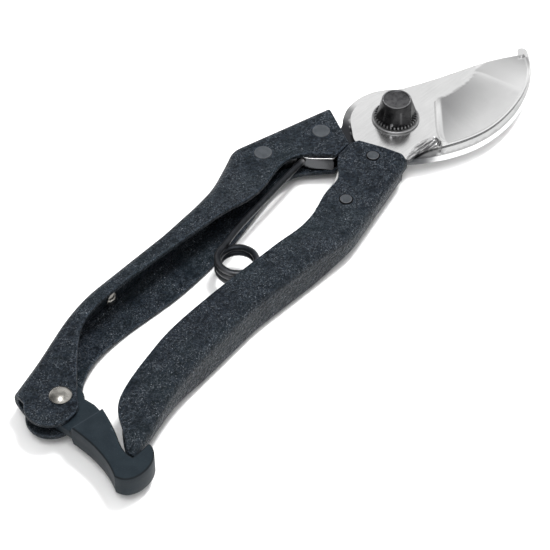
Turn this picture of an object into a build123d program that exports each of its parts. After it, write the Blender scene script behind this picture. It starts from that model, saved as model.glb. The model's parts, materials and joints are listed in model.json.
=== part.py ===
from build123d import *
import math
import os

# Hand pruning shears, closed and latched, lying flat.
# Millimetres. Origin: on the pivot axis, at the flat underside of the pivot bolt's head.
# +X runs from the handle butts towards the blades, +Z up, the left handle is on the +Y side.

# ---- heights of the stack at the pivot
MID_Z = 6.8              # plane where the two blades slide on each other
TANG_THICK = 4.8         # thickness of each tang between its handle's flanges
BLADE_GAP = 0.06         # gap between the sliding blade faces
SHEET = 1.6              # steel sheet of the handles
HEAD_TOP = MID_Z + TANG_THICK / 2 + SHEET
GRIP_TOP = 13.4          # the handles are deepest in the middle of the grip
EDGE_ROUND = 2.8         # outside radius of the folded sheet
BUTT_TOP = 10.1          # the handles are pinched at the butt
BLADE_TOP = MID_Z + TANG_THICK / 2
BLADE_LOW = MID_Z - TANG_THICK / 2

# ---- round butt of the left handle
BUTT_R = 7.3
BUTT_AT = (-149.7, 11.8)
BUTT_START = (-153.6, 17.9)
BUTT_LEAN = 15           # degrees from -X to the middle of the butt's arc

# ---- pivot
BOLT_R = 4.0
RUNNING = 0.05           # radial clearance of parts that turn on a pin
CLOSE = 0.02             # radial clearance of parts that do not turn
BOLT_HEAD_FLATS = 13.0
BOLT_HEAD_FOOT_R = 6.2   # the head's underside is chamfered to a circle
BOLT_HEAD_SPREAD_R = 10.0
WASHER_R = 7.4
WASHER_THICK = 0.7
RING_R = 6.7
RING_THICK = 1.1
RING_TEETH = 36
TOOTH_DEEP = 0.45
STACK_GAP = 0.03
NUT_FOOT_R = 6.5
NUT_NECK_R = 5.3         # corners of the tapered hexagon where it meets the nut's top
NUT_TOP_R = 4.5
NUT_TOP = 17.2
DISH_R = 20.0            # the nut's top is hollowed by a ball of this radius
DISH_DEEP = 0.5
THREAD_END = 1.9         # the threaded hole stops this far below the nut's top
THREAD_OVERLAP = 0.1     # the bolt's end stays this far below the end of the hole

# ---- blades
THICK_START_R = 18.6     # the tangs are full thickness only outside this radius
EDGE_LAND = 0.5          # blade thickness left at the cutting edge
HOLLOW_R = 100.0         # radius of the hollow grind
HOLLOW_WIDE = 19.0       # from the grind's ridge to its deepest line
RIDGE_AT = (15.0, -6.8)
RIDGE_TURN = -7.7
HEEL_SLOPE = 40.0        # slope of the grind's heel wall, from upright
SCOOP_R = 4.3            # round grind behind the heel of the edge
SCOOP_AT = (-5.5, -16.0)
SCOOP_TURN = -16.0
SCOOP_REACH = 8.0

# ---- rivets
FLUSH_RIVET_R = 2.7
RAISED_RIVET_R = 2.1
RAISED_RIVET_PROUD = 0.35
FLUSH_PROUD = 0.06
LEFT_RIVETS = ((-19.6, 14.4), (-37.8, 23.1))
RIGHT_RIVETS = ((-19.4, -4.6), (-39.6, -8.6))
CATCH_PIN = (-146.0, 11.4)
CATCH_PIN_R = 2.0
CATCH_HEAD_R = 3.2
CATCH_HEAD_TALL = 1.7
CATCH_FOOT_R = 2.9
CATCH_FOOT_TALL = 0.9
CATCH_FOOT_CHAMFER = 0.5
RIVET_CHAMFER = 0.2
SEAT_GAP = 0.02          # between a rivet's head and the sheet under it
WEB_RIVET_AT = (-107.5, 5.2)
WEB_RIVET_R = 2.2
WEB_RIVET_TALL = 1.0
WEB_FACE_Y = 25.35       # inner face of the web where the small rivet sits
WEB_SHANK_R = 1.2
WEB_SHANK_LONG = 2.1

# ---- catch
CATCH_THICK = 7.3
EYE_THICK = 3.1          # the catch is thin at its eye, to fit between the flanges
EYE_R = 6.4
STEP_AT = 11.15          # the thick arm starts this far from the pin
STEP_TURN = -14.0
HOOK_R = 29.4            # inner face of the hook, an arc about the catch pin

# ---- spring
WIRE_R = 1.0
COIL_AT = (-76.6, 4.0)
COIL_R = 5.7             # to the middle of the wire
COIL_PITCH = 2.06
COIL_TURNS = 2.5
COIL_LOW_Z = 4.3
LEFT_LEG_BEND = (13.0, 1.7, -0.3)      # from the coil's upper end to the bend in its leg
LEFT_LEG_END = (-33.9, 13.0, 8.0)
RIGHT_LEG_END = (-49.5, -6.6, 6.6)

FAR = 60.0               # larger than any handle width, for cutters


def rounded(points, radii):
    """A flat face with straight sides whose named corners are rounded."""
    face = make_face(Polyline(*points, close=True).edges())
    for corner, radius in radii:
        nearest = face.vertices().sort_by_distance((*corner, 0))[0]
        face = fillet(nearest, radius)
    return face


def side_cutter(inset):
    """What lies above a handle: it is low at the head, deep in the grip, pinched at the butt."""
    head = HEAD_TOP - MID_Z - inset
    grip = GRIP_TOP - MID_Z - inset
    butt = BUTT_TOP - MID_Z - inset
    corners = ((-47, head), (-66, grip), (-114, grip), (-140, butt))
    face = rounded(
        ((10, head), *corners, (-180, butt), (-180, 40), (10, 40)),
        tuple(zip(corners, (40, 40, 60, 60))),
    )
    return Rot(90, 0, 0) * extrude(face, 100, both=True)


def solid_handle(web, radii, side, inset):
    """A handle as if it were solid, with its two long outside edges rounded."""
    far = -side * FAR
    face = rounded((*web, (web[-1][0], far), (web[0][0], far)), radii)
    if inset:
        face = offset(face, -inset)
    body = slab(face, -20, 20)
    cutter = side_cutter(inset)
    body = body - cutter - mirror(cutter, about=Plane.XY)
    long_edges = [
        edge
        for edge in body.edges()
        if edge.bounding_box().size.X > 0.5 and side * edge.center().Y > 0 and 2 < abs(edge.center().Z) < 10
    ]
    return Pos(0, 0, MID_Z) * fillet(long_edges, EDGE_ROUND - inset)


def channel(web, radii, side, upper, lower):
    """A channel of sheet steel, open towards the other handle, cut to its two flange outlines."""
    outer = solid_handle(web, radii, side, 0)
    inner = solid_handle(web, radii, side, SHEET)
    return (outer & (slab(upper, MID_Z, 20) + slab(lower, -5, MID_Z))) - inner


def outline(*edges):
    """A flat face inside a closed loop of lines and curves."""
    loop = [edge for stretch in edges for edge in stretch.edges()]
    return make_face(loop)


def slab(face, low, high):
    """A face made solid between two heights."""
    return extrude(Pos(0, 0, low) * face, high - low, dir=(0, 0, 1))


def pin(at, radius, low, high):
    """An upright cylinder."""
    return Pos(at[0], at[1], (low + high) / 2) * Cylinder(radius, high - low)


def left_outline(inner_points, head):
    """Flange outline of the left handle: inner edge, head end, and round butt."""
    lean = math.radians(BUTT_LEAN)
    middle = (BUTT_AT[0] - BUTT_R * math.cos(lean), BUTT_AT[1] - BUTT_R * math.sin(lean))
    end = (BUTT_AT[0] + 0.5, BUTT_AT[1] - BUTT_R)
    inner = Spline(*inner_points)
    nose = Polyline(inner_points[-1], *head, (head[-1][0], FAR), (-152.6, FAR), (-152.6, 21.4), BUTT_START)
    butt = ThreePointArc(BUTT_START, middle, end)
    close = Spline(end, (-146.3, 5.0), inner_points[0])
    return outline(inner, nose, butt, close)


def left_handle():
    web = ((5, 14.0), (-41.8, 32.0), (-63, 24.8), (-84, 25.2), (-121, 28.4), (-152, 22.7), (-175, 17.0))
    bends = ((web[1], 7), (web[2], 45), (web[3], 90), (web[4], 60))
    upper_edge = (
        (-143.9, 7.5),
        (-136.7, 13.5),
        (-129.4, 19.0),
        (-123.0, 22.2),
        (-112.5, 22.5),
        (-97.0, 20.8),
        (-80.0, 18.2),
        (-66.0, 15.8),
        (-54.0, 13.9),
        (-42.5, 15.4),
        (-34.0, 14.8),
        (-30.0, 11.5),
        (-25.4, 4.7),
    )
    lower_edge = (
        (-142.4, 7.0),
        (-135.4, 12.6),
        (-128.5, 15.4),
        (-120.0, 16.4),
        (-109.0, 15.5),
        (-97.0, 13.5),
        (-79.0, 12.4),
        (-60.0, 13.3),
        (-44.0, 14.6),
        (-34.5, 13.2),
        (-29.6, 8.5),
        (-26.0, 4.7),
    )
    upper = left_outline(upper_edge, ((-18.7, 4.6), (-17.9, 6.0), (-9.0, 19.0)))
    lower = left_outline(lower_edge, ((-18.9, 4.6), (-17.9, 6.0), (-9.0, 19.0)))
    shell = channel(web, bends, 1, upper, lower)
    for at in LEFT_RIVETS:
        shell -= pin(at, FLUSH_RIVET_R + CLOSE, -5, 20)
    shell -= pin(CATCH_PIN, CATCH_PIN_R + CLOSE, -5, 20)
    shell -= web_rivet_shank(CLOSE)
    return shell


def right_outline(inner_points, head, corner):
    """Flange outline of the right handle: inner edge, head end, and slanted butt."""
    butt_low = (-149.0, -17.6)
    turned = (head[-1][0] - 3.2, -15.4)
    inner = Spline(*inner_points)
    rest = Polyline(inner_points[-1], *head)
    turn = ThreePointArc(head[-1], corner, turned)
    back = Polyline(turned, (turned[0], -FAR), (butt_low[0], -FAR), butt_low)
    tip = ThreePointArc(butt_low, (-150.2, -16.0), inner_points[0])
    return outline(inner, rest, turn, back, tip)


def right_handle():
    web = ((5, -11.2), (-50, -18.8), (-90, -13.1), (-126, -12.4), (-150, -17.6), (-175, -23.0))
    bends = ((web[1], 30), (web[2], 90), (web[3], 60))
    upper_edge = (
        (-149.6, -14.3),
        (-144.5, -8.6),
        (-139.5, -3.2),
        (-132.5, -0.9),
        (-122.0, 0.1),
        (-110.0, 0.3),
        (-95.0, -0.8),
        (-80.0, -2.5),
        (-68.0, -4.1),
        (-58.0, -5.0),
        (-48.0, -3.7),
        (-40.0, -1.9),
        (-33.0, -1.2),
        (-29.4, 1.4),
        (-25.0, 4.15),
    )
    lower_edge = (
        (-149.6, -14.3),
        (-144.5, -8.6),
        (-139.5, -5.0),
        (-131.0, -5.4),
        (-118.0, -7.2),
        (-100.0, -8.0),
        (-84.0, -8.2),
        (-68.0, -7.6),
        (-56.0, -5.4),
        (-46.0, -3.7),
        (-38.0, -1.8),
        (-32.0, -0.4),
        (-25.6, 4.15),
    )
    upper = right_outline(upper_edge, ((-18.4, 4.15), (-16.1, 2.7), (-14.3, -4.9), (-13.5, -10.4)), (-14.1, -13.0))
    lower = right_outline(lower_edge, ((-19.5, 4.15), (-18.6, 1.5), (-18.4, -6.0), (-16.6, -10.4)), (-17.0, -13.2))
    shell = channel(web, bends, -1, upper, lower)
    for at in RIGHT_RIVETS:
        shell -= pin(at, RAISED_RIVET_R + CLOSE, -5, 20)
    return shell


def web_rivet_shank(extra):
    """Shank of the small rivet, square to the left handle's web."""
    x, z = WEB_RIVET_AT
    middle_y = WEB_FACE_Y - WEB_RIVET_TALL / 5 + WEB_SHANK_LONG / 2
    return Pos(x, middle_y, z) * Rot(90, 0, 0) * Cylinder(WEB_SHANK_R + extra, WEB_SHANK_LONG + 5 * extra)


def cutting_blade():
    """Upper blade: half-thickness at the pivot, full-thickness tang inside the right handle."""
    rear = ((-44.0, -14.8), (-47.0, -9.5), (-44.0, -3.4))
    heel_end = (-2.1, -16.3)
    tang_top = Spline((-44.0, -3.4), (-37.5, -1.4), (-31.0, 0.6), (-24.6, 4.2))
    boss = Spline(
        (-15.9, 4.2),
        (-13.2, 7.2),
        (-8.0, 11.4),
        (-0.5, 13.0),
        (7.0, 10.3),
        (14.0, 5.3),
        tangents=((0.45, 1.0), (0.85, -0.55)),
    )
    spine = Spline((14.0, 5.3), (27.0, -2.1), (40.0, -8.9), (51.6, -16.9), tangents=((0.85, -0.55), (0.75, -0.66)))
    belly = Spline(
        (51.6, -16.9),
        (45.0, -21.6),
        (37.0, -24.5),
        (26.0, -25.9),
        (15.0, -24.9),
        (6.5, -21.7),
        heel_end,
    )
    heel = Spline(heel_end, (-6.0, -14.2), (-9.0, -13.4), (-12.6, -13.3))
    shape = outline(
        tang_top,
        Line((-24.6, 4.2), (-15.9, 4.2)),
        boss,
        spine,
        belly,
        heel,
        Polyline((-12.6, -13.3), (-13.4, -12.4), (-15.2, -11.0), (-38.0, -14.0), rear[0]),
        ThreePointArc(*rear),
    )
    upper = slab(shape, MID_Z + BLADE_GAP / 2, BLADE_TOP)
    thick = slab(shape, BLADE_LOW, BLADE_TOP)
    thick -= pin((0, 0), THICK_START_R, -5, 20)
    thick &= Pos(-15.0 - FAR / 2, 0, MID_Z) * Box(FAR, FAR, 20)
    blade = upper + thick
    blade -= hollow_grind()
    blade -= heel_scoop()
    blade -= pin((0, 0), BOLT_R + RUNNING, -5, 20)
    for at in RIGHT_RIVETS:
        blade -= pin(at, RAISED_RIVET_R + CLOSE, -5, 20)
    return blade


def hollow_grind():
    """Cutter for the long concave face that thins the cutting blade, with a sloping wall at its heel."""
    deep = BLADE_TOP - MID_Z - EDGE_LAND
    roller = Pos(0, -HOLLOW_WIDE, BLADE_TOP - deep + HOLLOW_R) * Rot(0, 90, 0) * Cylinder(HOLLOW_R, 90)
    roller = Pos(*RIDGE_AT, 0) * Rot(0, 0, RIDGE_TURN) * roller
    heel = ((15.2, -4.6), (8.1, -9.3), (2.9, -13.0), (-1.2, -18.9), (-4.0, -26.0))
    plan = outline(Polyline(*heel, (6, -FAR), (FAR, -FAR), (FAR, 10), close=True))
    wall = extrude(Pos(0, 0, BLADE_TOP) * plan, TANG_THICK / 2, dir=(0, 0, -1), taper=HEEL_SLOPE)
    return roller & wall


def heel_scoop():
    """Cutter for the rounded grind between the edge's heel and the handle."""
    lie = Pos(*SCOOP_AT, BLADE_TOP + SCOOP_R - 2.0) * Rot(0, 0, SCOOP_TURN) * Rot(0, 90, 0)
    return lie * Cylinder(SCOOP_R, 2 * SCOOP_REACH)


def counter_blade():
    """Lower hook blade: half-thickness at the pivot, full-thickness tang inside the left handle."""
    tips = ((52.0, -12.7), (54.5, -12.9), (54.2, -15.2))
    shape = outline(
        Spline((-26.2, 5.0), (-28.6, 8.4), (-30.6, 11.6), (-31.4, 15.2)),
        Spline((-31.4, 15.2), (-37.0, 18.2), (-42.8, 19.3)),
        ThreePointArc((-42.8, 19.3), (-45.2, 23.0), (-42.6, 27.6)),
        Polyline((-42.6, 27.6), (-39.5, 27.7), (-22.0, 21.0), (-17.5, 17.8)),
        Spline((-17.5, 17.8), (-12.8, 12.6), (-8.9, 13.7)),
        ThreePointArc((-8.9, 13.7), (3.5, 15.9), (14.1, 8.2)),
        Spline((14.1, 8.2), (13.2, -2.0), (15.5, -11.0), (24.0, -16.4), (34.0, -17.7), (44.0, -16.5), tips[0]),
        ThreePointArc(*tips),
        Spline(tips[2], (44.0, -22.7), (34.0, -26.4), (22.0, -27.9), (8.0, -25.5), (-3.2, -19.4), (-11.4, -11.7)),
        ThreePointArc((-11.4, -11.7), (-16.3, -0.6), (-15.6, 4.8)),
        Polyline((-15.6, 4.8), (-26.2, 5.0)),
    )
    lower = slab(shape, BLADE_LOW, MID_Z - BLADE_GAP / 2)
    thick = slab(shape, BLADE_LOW, BLADE_TOP)
    thick -= pin((0, 0), THICK_START_R, -5, 20)
    thick &= Pos(-16.5 - FAR / 2, FAR / 2, MID_Z) * Box(FAR, FAR, 20)
    blade = lower + thick
    blade -= pin((0, 0), BOLT_R + CLOSE, -5, 20)
    for at in LEFT_RIVETS:
        blade -= pin(at, FLUSH_RIVET_R + CLOSE, -5, 20)
    return blade


def pivot_bolt():
    """Bolt with a low hexagon head under the blades and a plain shank up to the nut."""
    head_tall = BLADE_LOW - STACK_GAP
    head = extrude(RegularPolygon(BOLT_HEAD_FLATS / 2, 6, major_radius=False), head_tall)
    head &= Cone(BOLT_HEAD_FOOT_R, BOLT_HEAD_SPREAD_R, head_tall, align=(Align.CENTER, Align.CENTER, Align.MIN))
    return head + pin((0, 0), BOLT_R, head_tall, NUT_TOP - THREAD_END - THREAD_OVERLAP)


def washer():
    """Plain washer on the cutting blade."""
    low = BLADE_TOP + STACK_GAP
    ring = pin((0, 0), WASHER_R, low, low + WASHER_THICK)
    return ring - pin((0, 0), BOLT_R + RUNNING, -5, 20)


def lock_ring():
    """Ring with small teeth all round, under the nut."""
    low = BLADE_TOP + WASHER_THICK + 2 * STACK_GAP
    ring = pin((0, 0), RING_R, low, low + RING_THICK)
    notch = Pos(RING_R, 0, low + RING_THICK / 2) * Rot(0, 0, 45) * Box(2 * TOOTH_DEEP, 2 * TOOTH_DEEP, 2)
    for k in range(RING_TEETH):
        ring -= Rot(0, 0, 360 * k / RING_TEETH) * notch
    return ring - pin((0, 0), BOLT_R + CLOSE, -5, 20)


def pivot_nut():
    """Tapered hexagon nut whose round top is dished."""
    low = BLADE_TOP + WASHER_THICK + RING_THICK + 3 * STACK_GAP
    foot = Pos(0, 0, low) * RegularPolygon(NUT_FOOT_R, 6, rotation=20)
    neck = Pos(0, 0, NUT_TOP) * RegularPolygon(NUT_NECK_R, 6, rotation=20)
    shoulder = Cone(NUT_FOOT_R, NUT_TOP_R, NUT_TOP - low, align=(Align.CENTER, Align.CENTER, Align.MIN))
    body = loft([foot, neck]) & Pos(0, 0, low) * shoulder
    body -= Pos(0, 0, NUT_TOP - DISH_DEEP + DISH_R) * Sphere(DISH_R)
    return body - pin((0, 0), BOLT_R + CLOSE, -5, NUT_TOP - THREAD_END)


def flush_rivet(at):
    """Tang rivet with both ends peened flush with the flanges."""
    return pin(at, FLUSH_RIVET_R, 2 * MID_Z - HEAD_TOP - FLUSH_PROUD, HEAD_TOP + FLUSH_PROUD)


def raised_rivet(at):
    """Tang rivet whose ends stand slightly above the flanges."""
    low = 2 * MID_Z - HEAD_TOP - RAISED_RIVET_PROUD
    rivet = pin(at, RAISED_RIVET_R, low, HEAD_TOP + RAISED_RIVET_PROUD)
    return chamfer(rivet.edges().filter_by(GeomType.CIRCLE), RIVET_CHAMFER)


def catch_rivet():
    """Domed pin that joins the left handle's butt and the catch."""
    curve = (CATCH_HEAD_R**2 + CATCH_HEAD_TALL**2) / (2 * CATCH_HEAD_TALL)
    dome = Pos(*CATCH_PIN, BUTT_TOP + CATCH_HEAD_TALL - curve) * Sphere(curve)
    dome &= pin(CATCH_PIN, CATCH_HEAD_R, BUTT_TOP + SEAT_GAP, BUTT_TOP + CATCH_HEAD_TALL)
    sheet_low = 2 * MID_Z - BUTT_TOP
    foot_low = sheet_low - CATCH_FOOT_TALL
    foot = pin(CATCH_PIN, CATCH_FOOT_R, foot_low, sheet_low - SEAT_GAP)
    foot = chamfer(foot.edges().group_by(Axis.Z)[0], CATCH_FOOT_CHAMFER)
    return dome + pin(CATCH_PIN, CATCH_PIN_R, foot_low, BUTT_TOP + 5 * SEAT_GAP) + foot


def web_rivet():
    """Small rivet through the left handle's web, with a low dome on the inner wall."""
    x, z = WEB_RIVET_AT
    curve = (WEB_RIVET_R**2 + WEB_RIVET_TALL**2) / (2 * WEB_RIVET_TALL)
    dome = Pos(x, WEB_FACE_Y - WEB_RIVET_TALL + curve, z) * Sphere(curve)
    dome &= Pos(x, WEB_FACE_Y - WEB_RIVET_TALL / 2, z) * Rot(90, 0, 0) * Cylinder(WEB_RIVET_R, WEB_RIVET_TALL)
    return dome + web_rivet_shank(0)


def tube(start, end):
    """A straight length of spring wire with round ends."""
    way = Vector(*end) - Vector(*start)
    place = Plane(origin=start, z_dir=way)
    rod = place * Cylinder(WIRE_R, way.length, align=(Align.CENTER, Align.CENTER, Align.MIN))
    return rod + Pos(*start) * Sphere(WIRE_R) + Pos(*end) * Sphere(WIRE_R)


def spring():
    """Torsion spring: coil between the grips, one leg towards each tang."""
    rise_z = COIL_PITCH * COIL_TURNS
    path = Helix(COIL_PITCH, rise_z, COIL_R)
    path = Rot(0, 0, -90) * path
    start = path @ 0
    face = Plane(origin=start, z_dir=path % 0) * Circle(WIRE_R)
    coil = sweep(face, path=path, is_frenet=True)
    coil = Pos(*COIL_AT, COIL_LOW_Z) * coil
    x, y = COIL_AT
    low = (x, y - COIL_R, COIL_LOW_Z)
    high = (x, y + COIL_R, COIL_LOW_Z + rise_z)
    bend = tuple(a + b for a, b in zip(high, LEFT_LEG_BEND))
    left_leg = tube(high, bend) + tube(bend, LEFT_LEG_END)
    return coil + left_leg + tube(low, RIGHT_LEG_END)


def catch_lever():
    """Catch: thin eye between the flanges, thick arm, and a hook round the other butt."""
    hook_start = (-150.9, 11.4 - math.sqrt(HOOK_R**2 - 4.9**2))
    hook_end = (-144.9, 11.4 - math.sqrt(HOOK_R**2 - 1.1**2))
    hook_mid = (-148.0, 11.4 - math.sqrt(HOOK_R**2 - 2.0**2))
    arm = outline(
        Spline((-152.9, 8.0), (-153.1, 0.0), (-154.5, -8.5), (-158.6, -17.6)),
        Spline((-158.6, -17.6), (-157.4, -21.0), (-151.8, -23.1), (-147.2, -21.8), (-144.9, -18.9)),
        Line((-144.9, -18.9), hook_end),
        ThreePointArc(hook_end, hook_mid, hook_start),
        Spline(hook_start, (-150.6, -14.6), (-147.6, -9.4), (-144.5, -4.1), (-143.0, -1.0)),
        Polyline((-143.0, -1.0), (-141.9, 3.0), (-141.9, 8.0), (-152.3, 10.0), (-152.9, 8.0)),
    )
    half = CATCH_THICK / 2
    inner = Pos(*CATCH_PIN, MID_Z) * Rot(0, 0, STEP_TURN) * Pos(0, FAR / 2 - STEP_AT, 0) * Box(FAR, FAR, FAR)
    thick = slab(arm, MID_Z - half, MID_Z + half) - inner
    thin = slab(arm, MID_Z - EYE_THICK / 2, MID_Z + EYE_THICK / 2)
    thin += pin(CATCH_PIN, EYE_R, MID_Z - EYE_THICK / 2, MID_Z + EYE_THICK / 2)
    return thick + thin - pin(CATCH_PIN, CATCH_PIN_R + RUNNING, -5, 20)


PARTS = {
    "left_handle": left_handle,
    "right_handle": right_handle,
    "cutting_blade": cutting_blade,
    "counter_blade": counter_blade,
    "pivot_bolt": pivot_bolt,
    "pivot_washer": washer,
    "lock_ring": lock_ring,
    "pivot_nut": pivot_nut,
    "left_front_rivet": lambda: flush_rivet(LEFT_RIVETS[0]),
    "left_rear_rivet": lambda: flush_rivet(LEFT_RIVETS[1]),
    "right_front_rivet": lambda: raised_rivet(RIGHT_RIVETS[0]),
    "right_rear_rivet": lambda: raised_rivet(RIGHT_RIVETS[1]),
    "catch_rivet": catch_rivet,
    "web_rivet": web_rivet,
    "spring": spring,
    "catch_lever": catch_lever,
}

os.makedirs("parts", exist_ok=True)
for name, make in PARTS.items():
    solid = make()
    print(name, round(solid.volume, 1), "solids:", len(solid.solids()), "valid:", solid.is_valid)
    export_step(solid, "parts/" + name + ".step")
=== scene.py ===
import json
import math

import bpy
import numpy as np
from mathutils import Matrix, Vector
from mathutils.geometry import delaunay_2d_cdt

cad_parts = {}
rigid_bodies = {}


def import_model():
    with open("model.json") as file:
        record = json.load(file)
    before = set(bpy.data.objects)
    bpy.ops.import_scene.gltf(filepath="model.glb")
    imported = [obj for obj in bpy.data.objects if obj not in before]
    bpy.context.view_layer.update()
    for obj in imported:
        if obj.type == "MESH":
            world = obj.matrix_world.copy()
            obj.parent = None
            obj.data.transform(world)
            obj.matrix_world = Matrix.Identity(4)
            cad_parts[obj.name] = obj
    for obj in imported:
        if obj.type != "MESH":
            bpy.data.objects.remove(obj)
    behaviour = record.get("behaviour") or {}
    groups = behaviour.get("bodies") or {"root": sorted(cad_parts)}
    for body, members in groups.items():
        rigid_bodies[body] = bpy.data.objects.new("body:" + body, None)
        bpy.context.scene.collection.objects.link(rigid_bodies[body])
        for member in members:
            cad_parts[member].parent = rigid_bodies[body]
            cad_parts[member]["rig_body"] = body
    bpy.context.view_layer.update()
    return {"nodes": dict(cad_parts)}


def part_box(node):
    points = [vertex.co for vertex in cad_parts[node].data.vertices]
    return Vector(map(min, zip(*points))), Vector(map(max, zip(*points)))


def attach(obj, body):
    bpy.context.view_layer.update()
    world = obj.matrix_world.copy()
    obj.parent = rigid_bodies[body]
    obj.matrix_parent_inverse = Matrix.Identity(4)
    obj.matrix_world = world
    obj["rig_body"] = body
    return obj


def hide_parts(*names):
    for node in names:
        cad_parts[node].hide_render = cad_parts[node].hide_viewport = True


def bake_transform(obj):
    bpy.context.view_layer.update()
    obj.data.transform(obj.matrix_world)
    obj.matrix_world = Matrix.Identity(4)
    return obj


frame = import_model()
nodes = frame["nodes"]
MM = 0.001

# Heights in the part's frame, in millimetres. SLIDE_TOP is the cutting blade's underside at the pivot,
# and SLIDE_LOW is the counter blade's top, just under it.
BLADE_LOW, BLADE_TOP = 4.4, 9.2
SLIDE_TOP, SLIDE_LOW = 6.83, 6.77


# ---------------------------------------------------------------- camera, floor, light
def look_at(obj, at):
    obj.rotation_mode = "QUATERNION"
    obj.rotation_quaternion = (Vector(at) - obj.location).to_track_quat("-Z", "Y")


CAMERA_AT = (-0.3749, -0.2263, 0.4062)
CAMERA_AIM = (-0.07556, -0.00879, 0.0092)
LENS, SENSOR = 124.36, 36.0

cam_data = bpy.data.cameras.new("camera")
cam = bpy.data.objects.new("camera", cam_data)
bpy.context.scene.collection.objects.link(cam)
cam_data.lens = LENS
cam_data.sensor_width = SENSOR
cam_data.clip_start, cam_data.clip_end = 0.05, 20.0
cam.location = CAMERA_AT
look_at(cam, CAMERA_AIM)
bpy.context.scene.camera = cam
bpy.context.scene.view_settings.view_transform = "Standard"

# The lamps aim at the middle of the shears.
MIDDLE = Vector((-0.06, 0.0, 0.01))


def area_light(name, azimuth, elevation, distance, size, watts):
    """A soft lamp. Azimuth is counted from +X towards +Y, in degrees."""
    data = bpy.data.lights.new(name, "AREA")
    data.shape = "RECTANGLE"
    data.size, data.size_y = size
    data.energy = watts
    lamp = bpy.data.objects.new(name, data)
    bpy.context.scene.collection.objects.link(lamp)
    a, e = math.radians(azimuth), math.radians(elevation)
    away = Vector((math.cos(a) * math.cos(e), math.sin(a) * math.cos(e), math.sin(e)))
    lamp.location = MIDDLE + away * distance
    look_at(lamp, MIDDLE)
    return lamp


key = area_light("key", -12, 69, 0.9, (0.22, 0.22), 8.8)
key.visible_glossy = False  # its mirror image would wash out the blade's hollow
area_light("top", 215, 75, 1.0, (0.6, 0.6), 1.1)

world = bpy.data.worlds.new("world")
bpy.context.scene.world = world
world.use_nodes = True
# The sky's brightness by the height of a direction: 0 is level, and 1 straight up.
SKY = ((0.0, 0.56), (0.35, 0.74), (0.66, 0.96), (0.85, 0.82), (1.0, 0.56))
# Soft patches of the studio seen in the metal: direction, cosines of their outer and inner edge, brightness.
PATCHES = (
    ((0.55, 0.06, 0.83), 0.945, 0.995, 0.66),
    ((-0.55, 0.74, 0.38), 0.70, 0.97, 0.30),
    ((0.95, 0.15, 0.20), 0.86, 0.98, 1.30),
    ((-0.28, -0.16, 0.95), 0.955, 0.985, 9.0),
)


def paint_sky(tree):
    """Brightness by height, with darker and brighter patches, as black flags and cards give."""
    coord = tree.nodes.new("ShaderNodeTexCoord").outputs["Generated"]
    split = tree.nodes.new("ShaderNodeSeparateXYZ")
    ramp = tree.nodes.new("ShaderNodeValToRGB")
    tree.links.new(coord, split.inputs[0])
    tree.links.new(split.outputs["Z"], ramp.inputs["Fac"])
    for element, (at, bright) in zip(ramp.color_ramp.elements, (SKY[0], SKY[-1])):
        element.position, element.color = at, (bright, bright, bright, 1)
    for at, bright in SKY[1:-1]:
        ramp.color_ramp.elements.new(at).color = (bright, bright, bright, 1)
    total = ramp.outputs["Color"]
    for direction, outer, inner, bright in PATCHES:
        dot = tree.nodes.new("ShaderNodeVectorMath")
        dot.operation = "DOT_PRODUCT"
        dot.inputs[1].default_value = Vector(direction).normalized()
        reach = tree.nodes.new("ShaderNodeMapRange")
        reach.interpolation_type = "SMOOTHSTEP"
        for name, number in zip(("From Min", "From Max", "To Min", "To Max"), (outer, inner, 1.0, bright)):
            reach.inputs[name].default_value = number
        scale = tree.nodes.new("ShaderNodeVectorMath")
        scale.operation = "SCALE"
        tree.links.new(coord, dot.inputs[0])
        tree.links.new(dot.outputs["Value"], reach.inputs["Value"])
        tree.links.new(total, scale.inputs[0])
        tree.links.new(reach.outputs["Result"], scale.inputs["Scale"])
        total = scale.outputs[0]
    tree.links.new(total, tree.nodes["Background"].inputs["Color"])


paint_sky(world.node_tree)

bpy.ops.mesh.primitive_plane_add(size=6, location=(0, 0, 0))
floor = bpy.context.object
floor.name = "floor"


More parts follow.
